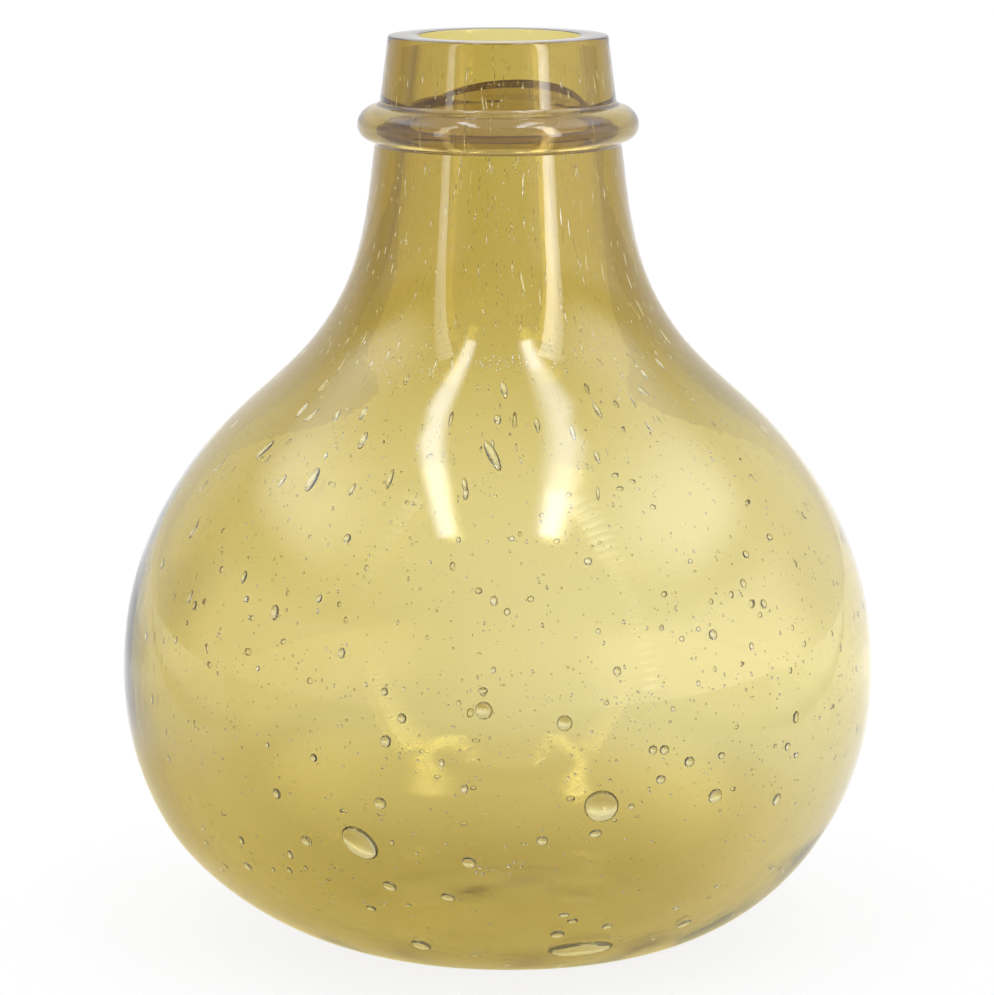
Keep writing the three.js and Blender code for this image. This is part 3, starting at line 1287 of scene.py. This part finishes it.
@dataclass(frozen=True)
class NeckStrip:
    """An upright strip of small lamps bent round the neck, gridded so that only the neck mirrors them."""

    name: str
    turn: float  # degrees from the camera's side, to the right positive
    breadth: float  # degrees
    radiance: float
    low: float = -6.0  # degrees above the aim
    high: float = 57.0
    lamps: int = 24
    distance: float = 0.75
    grid: float = 20.0  # degrees that the light fans out over
    aim: tuple[float, float, float] = (0.0, 0.0, 0.215)

    def build(self) -> None:
        """Adds the lamps from the lowest up."""
        step = math.radians(self.high - self.low) / self.lamps
        height = 2 * self.distance * math.tan(step / 2)
        width = 2 * self.distance * math.tan(math.radians(self.breadth / 2))
        half = math.radians(self.grid / 2)
        turn = math.radians(self.turn)
        for i in range(self.lamps):
            rise = math.radians(self.low) + step * (i + 0.5)
            level = math.cos(rise)
            way = Vector((math.sin(turn) * level, -math.cos(turn) * level, math.sin(rise)))
            bpy.ops.object.light_add(
                type="AREA",
                location=Vector(self.aim) + way * self.distance,
                rotation=way.to_track_quat("Z", "Y").to_euler(),
            )
            made = bpy.context.object
            made.name = f"{self.name}_{i + 1:02d}"
            made.visible_camera = False
            made.visible_diffuse = False
            light = made.data
            light.shape = "RECTANGLE"
            light.size, light.size_y = width, height
            light.spread = math.radians(self.grid)
            light.energy = math.pi * width * height * self.radiance * (1 - half / math.tan(half))


@dataclass(frozen=True)
class CeilingGlow:
    """A soft-edged bright place on the ceiling: where it lies over the vessel, per metre of height."""

    across: float
    half_width: float
    soft_across: float
    back: float
    front: float
    soft_along: float
    radiance: float

    def nodes(
        self, tree: bpy.types.NodeTree, across: bpy.types.NodeSocket, along: bpy.types.NodeSocket
    ) -> bpy.types.NodeSocket:
        """Adds its brightness as a product of soft edges.

        Args:
            tree: the walls' node tree.
            across: the direction's slope to the right.
            along: the direction's slope to the front.

        Returns:
            The socket of its radiance.
        """
        offset = add_node(tree, "ShaderNodeMath", {1: self.across}, {0: across}, operation="SUBTRACT")
        distance = add_node(tree, "ShaderNodeMath", links={0: offset.outputs[0]}, operation="ABSOLUTE")
        sides = (self.half_width - self.soft_across, self.half_width + self.soft_across)
        back = (self.back - self.soft_along, self.back + self.soft_along)
        front = (self.front - self.soft_along, self.front + self.soft_along)
        side = (distance.outputs[0], sides, (self.radiance, 0.0))
        return soft_levels(tree, (along, back, RISE), (along, front, FALL), side)


@dataclass(frozen=True)
class TablePlace:
    """A round place of painted light or painted shade on the table, with a soft edge: its middle, and its
    edge's start and end, in metres.
    """

    middle: tuple[float, float, float]
    edge: tuple[float, float]
    glow: float = 1.0  # its brightness over that of its surroundings

    def outline(self, tree: bpy.types.NodeTree, place: bpy.types.NodeSocket, inside: float) -> SoftEdge:
        """Adds the distance from its middle.

        Args:
            tree: the table's node tree.
            place: the socket of the place on the table.
            inside: the level inside it, where outside it is 1.

        Returns:
            Its soft edge.
        """
        ends = ({1: self.middle}, {0: place})
        away = add_node(tree, "ShaderNodeVectorMath", *ends, operation="DISTANCE")
        return away.outputs["Value"], self.edge, (inside, 1.0)


@dataclass(frozen=True)
class TableTop:
    """A white table: how bright each part of it looks in the glass, as a glow painted with light and shade.
    Places are in metres from the axis.
    """

    size: float = 12.0
    corners: int = 96  # of its round edge
    gap: float = 0.1 * MM  # so that the foot and the table aren't in one plane
    flare: float = 0.9  # how fast it widens behind the vessel, into the backdrop
    edge: tuple[float, float] = (0.375, 0.387)  # where its darker edge starts
    beside: tuple[float, float] = (0.405, 0.625)
    edge_share: float = 0.45
    beside_share: float = 1.1
    # Painted light and shade in the table's glow: dim in front, a painted shadow of the vessel under and just
    # behind it, brighter further back
    front_glow: float = 0.28
    front_end: tuple[float, float] = (-0.12, -0.04)
    under_glow: float = 0.7
    shade: tuple[float, float] = (-0.03, 0.07)
    shade_glow: float = 0.6  # behind the vessel, in its own shade
    back: tuple[float, float] = (0.15, 0.4)
    back_glow: float = 0.8
    # painted pool of olive light on the table, under and just behind the vessel
    painted_light_pool: TablePlace = TablePlace((-0.05, 0.05, 0.0), (0.12, 0.22))
    painted_pool_tone: str = "faebaa"  # the light that falls through the vessel
    # painted shade at the back left and painted light at the back right
    places: tuple[TablePlace, ...] = (
        TablePlace((-0.45, 0.6, 0.0), (0.2, 0.32), 0.72),
        TablePlace((0.25, 0.26, 0.0), (0.1, 0.34), 1.22),
    )
    grey: float = 0.35  # how much of the lamps' light it scatters
    seen_glow: float = 0.85  # straight from the camera its shadow is kept faint

    def build(self) -> None:
        """Adds the table as a wide plain sheet."""
        bpy.ops.mesh.primitive_circle_add(
            vertices=self.corners, radius=self.size, fill_type="NGON", location=(0, 0, -self.gap)
        )
        bpy.ops.object.transform_apply()
        sheet = bpy.context.object
        sheet.name = "studio_floor"
        sheet.data.materials.append(self.material())

    def brightness(self, tree: bpy.types.NodeTree, place: bpy.types.NodeSocket) -> bpy.types.NodeSocket:
        """Adds how bright the table glows at each place: its painted light and shade.

        Args:
            tree: the table's node tree.
            place: the socket of the place on the table.

        Returns:
            The socket of its brightness.
        """
        split = add_node(tree, "ShaderNodeSeparateXYZ", links={"Vector": place})
        aside = add_node(tree, "ShaderNodeMath", links={0: split.outputs["X"]}, operation="ABSOLUTE")
        behind = add_node(tree, "ShaderNodeMath", {1: 0.0}, {0: split.outputs["Y"]}, operation="MAXIMUM")
        widths = {0: behind.outputs[0], 2: aside.outputs[0]}
        wide = {1: -self.flare}
        beyond = add_node(tree, "ShaderNodeMath", wide, widths, operation="MULTIPLY_ADD").outputs[0]
        along = split.outputs["Y"]
        return soft_levels(
            tree,
            (beyond, self.edge, (1.0, self.edge_share)),
            (beyond, self.beside, (1.0, self.beside_share / self.edge_share)),
            (along, self.front_end, (self.front_glow, self.under_glow)),
            (along, self.shade, (1.0, self.shade_glow / self.under_glow)),
            (along, self.back, (1.0, self.back_glow / self.shade_glow)),
            *(spot.outline(tree, place, spot.glow) for spot in self.places),
        )

    def material(self) -> bpy.types.Material:
        """A matt white sheet that is lit from all round, under a glow of painted light and shade with a
        painted pool of the olive light of the glass on it; straight from the camera the glow is even.

        Returns:
            The material.
        """
        made = bpy.data.materials.new("white_table_top")
        made.use_nodes = True
        tree = made.node_tree
        tree.nodes.clear()
        place = add_node(tree, "ShaderNodeTexCoord").outputs["Object"]
        # painted olive pool of light under the vessel
        outside = {0: soft_levels(tree, self.painted_light_pool.outline(tree, place, 0.0))}
        tones = {6: linear(self.painted_pool_tone), 7: WHITE}
        tone = add_node(tree, "ShaderNodeMix", tones, outside, data_type="RGBA").outputs[2]
        lit = {"Color": tone, "Strength": self.brightness(tree, place)}
        mirrored = self.sheet(tree, self.grey, add_node(tree, "ShaderNodeEmission", links=lit))
        even = {"Color": WHITE, "Strength": self.seen_glow}
        seen = self.sheet(tree, 1 - self.seen_glow, add_node(tree, "ShaderNodeEmission", even))
        straight = add_node(tree, "ShaderNodeLightPath").outputs["Is Camera Ray"]
        mixed = add_node(tree, "ShaderNodeMixShader", links={0: straight, 1: mirrored, 2: seen})
        add_node(tree, "ShaderNodeOutputMaterial", links={"Surface": mixed.outputs[0]})
        return made

    @staticmethod
    def sheet(tree: bpy.types.NodeTree, grey: float, glow: bpy.types.Node) -> bpy.types.NodeSocket:
        """Adds a matt grey under a glow.

        Args:
            tree: the table's node tree.
            grey: how light the grey is.
            glow: the node of the glow.

        Returns:
            The socket of the two together.
        """
        matt = add_node(tree, "ShaderNodeBsdfDiffuse", {"Color": (grey, grey, grey, 1)})
        both = {0: matt.outputs[0], 1: glow.outputs[0]}
        return add_node(tree, "ShaderNodeAddShader", links=both).outputs[0]


@dataclass(frozen=True)
class StudioWalls:
    """The room round the table: white behind, soft lilac greys to the sides, and the ceiling lights."""

    ceiling: tuple[CeilingGlow, ...] = (
        CeilingGlow(-0.285, 0.05, 0.035, -0.04, 0.62, 0.03, 10.0),
        CeilingGlow(0.29, 0.07, 0.06, -0.04, 0.62, 0.03, 7.5),
        CeilingGlow(0.28, 0.05, 0.03, 0.3, 0.62, 0.04, 5.0),
        CeilingGlow(-1.05, 0.35, 0.3, -0.8, 0.35, 0.4, 2.3),
        CeilingGlow(1.05, 0.45, 0.35, -0.6, 0.5, 0.4, 2.4),
    )
    lamp_tone: str = "e4ecff"
    lowest: float = 0.05  # the slope below which a direction no longer reaches the ceiling
    backdrop: str = "fdfcfb"
    backdrop_edge: tuple[float, float] = (0.38, 0.75)  # cosines from straight behind, where it gives way
    left: str = "c8c1c6"
    right: str = "ece6ea"
    middle: tuple[float, float] = (-0.3, 0.3)  # where one side gives way to the other
    side_glow: float = 2.0  # beside the camera, how much brighter the walls are up to standing height
    side_across: tuple[float, float] = (0.35, 0.6)
    side_ahead: tuple[float, float] = (0.1, 0.5)
    side_height: tuple[float, float] = (0.3, 0.45)
    ceiling_tone: str = "faf8f6"
    ceiling_edge: tuple[float, float] = (0.45, 0.85)  # how steeply upwards the ceiling takes over

    def build(self) -> None:
        """Sets the room as the scene's world."""
        world = bpy.data.worlds.new("studio_walls")
        world.use_nodes = True
        tree = world.node_tree
        tree.nodes.clear()
        way = add_node(tree, "ShaderNodeTexCoord").outputs["Generated"]
        split = add_node(tree, "ShaderNodeSeparateXYZ", links={"Vector": way})
        ends = {"Color": self.tone(tree, split), "Strength": self.strength(tree, split)}
        room = add_node(tree, "ShaderNodeBackground", links=ends)
        lamp = {"Color": linear(self.lamp_tone)}
        lights = add_node(tree, "ShaderNodeBackground", lamp, {"Strength": self.lights(tree, split)})
        lit = add_node(tree, "ShaderNodeAddShader", links={0: room.outputs[0], 1: lights.outputs[0]})
        plain = add_node(tree, "ShaderNodeBackground", {"Color": WHITE, "Strength": 1.0})
        rays = add_node(tree, "ShaderNodeLightPath")
        seen = lit
        for ray in ("Is Diffuse Ray", "Is Camera Ray"):
            ends = {0: rays.outputs[ray], 1: seen.outputs[0], 2: plain.outputs[0]}
            seen = add_node(tree, "ShaderNodeMixShader", links=ends)
        add_node(tree, "ShaderNodeOutputWorld", links={"Surface": seen.outputs[0]})
        bpy.context.scene.world = world

    def tone(self, tree: bpy.types.NodeTree, way: bpy.types.Node) -> bpy.types.NodeSocket:
        """Adds the colour of the walls in each direction.

        Args:
            tree: the walls' node tree.
            way: the node that splits the direction.

        Returns:
            The socket of the colour.
        """
        far = {0: soft_levels(tree, (way.outputs["X"], self.middle, RISE))}
        sides = {6: linear(self.left), 7: linear(self.right)}
        tone = add_node(tree, "ShaderNodeMix", sides, far, data_type="RGBA").outputs[2]
        others = (("Z", self.ceiling_edge, self.ceiling_tone), ("Y", self.backdrop_edge, self.backdrop))
        for axis, edge, other in others:
            ends = {0: soft_levels(tree, (way.outputs[axis], edge, RISE)), 6: tone}
            tone = add_node(tree, "ShaderNodeMix", {7: linear(other)}, ends, data_type="RGBA").outputs[2]
        return tone

    def strength(self, tree: bpy.types.NodeTree, way: bpy.types.Node) -> bpy.types.NodeSocket:
        """Adds how bright the walls are in each direction: brighter to both sides of the camera.

        Args:
            tree: the walls' node tree.
            way: the node that splits the direction.

        Returns:
            The socket of the brightness.
        """
        aside = add_node(tree, "ShaderNodeMath", links={0: way.outputs["X"]}, operation="ABSOLUTE")
        share = soft_levels(
            tree,
            (aside.outputs[0], self.side_across, RISE),
            (way.outputs["Y"], self.side_ahead, FALL),
            (way.outputs["Z"], self.side_height, FALL),
        )
        more = {1: self.side_glow - 1, 2: 1.0}
        return add_node(tree, "ShaderNodeMath", more, {0: share}, operation="MULTIPLY_ADD").outputs[0]

    def lights(self, tree: bpy.types.NodeTree, way: bpy.types.Node) -> bpy.types.NodeSocket:
        """Adds the sum of the ceiling's glowing places in each direction.

        Args:
            tree: the walls' node tree.
            way: the node that splits the direction.

        Returns:
            The socket of the sum.
        """
        rise = {0: way.outputs["Z"]}
        above = add_node(tree, "ShaderNodeMath", {1: self.lowest}, rise, operation="MAXIMUM")
        slopes = []
        for axis in "XY":
            ends = {0: way.outputs[axis], 1: above.outputs[0]}
            slopes.append(add_node(tree, "ShaderNodeMath", links=ends, operation="DIVIDE").outputs[0])
        along = add_node(tree, "ShaderNodeMath", {1: -1.0}, {0: slopes[1]}, operation="MULTIPLY").outputs[0]
        total = self.ceiling[0].nodes(tree, slopes[0], along)
        for glow in self.ceiling[1:]:
            ends = {0: total, 1: glow.nodes(tree, slopes[0], along)}
            total = add_node(tree, "ShaderNodeMath", links=ends, operation="ADD").outputs[0]
        return total


@dataclass
class Studio:
    """A white table in a soft pale room, with the lights that draw the streaks on the glass."""

    camera: StudioCamera = field(default_factory=StudioCamera)
    table: TableTop = field(default_factory=TableTop)
    walls: StudioWalls = field(default_factory=StudioWalls)
    strips: tuple[NeckStrip, ...] = (
        NeckStrip("left_neck_strip", -47.5, 8.0, 5.0),
        NeckStrip("right_neck_strip", 46.0, 12.0, 11.0),
    )
    bounces: int = 32
    matt_bounces: int = 3

    def build(self) -> None:
        """Adds the camera, lamps, table and walls, and sets how light is traced."""
        self.camera.build()
        for strip in self.strips:
            strip.build()
        self.table.build()
        self.walls.build()
        self.tracing()

    def tracing(self) -> None:
        """Allows enough turns of light through the glass, and cleans up the grain."""
        scene = bpy.context.scene
        scene.view_settings.view_transform = "Standard"
        cycles = scene.cycles
        cycles.max_bounces = self.bounces
        cycles.transmission_bounces = self.bounces
        cycles.glossy_bounces = self.bounces
        cycles.diffuse_bounces = self.matt_bounces
        cycles.use_denoising = True


# The whole scene


def main() -> None:
    """Builds the demijohn and its studio."""
    logging.basicConfig(level=logging.INFO, format="%(name)s: %(message)s")
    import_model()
    vessel = Vessel(VesselForm(), Unevenness(), StringRing(), Seeds())
    vessel.dress(vessel.build())
    vessel.ring.dress(vessel.ring.build(vessel))
    Studio().build()


if __name__ == "__main__":
    main()
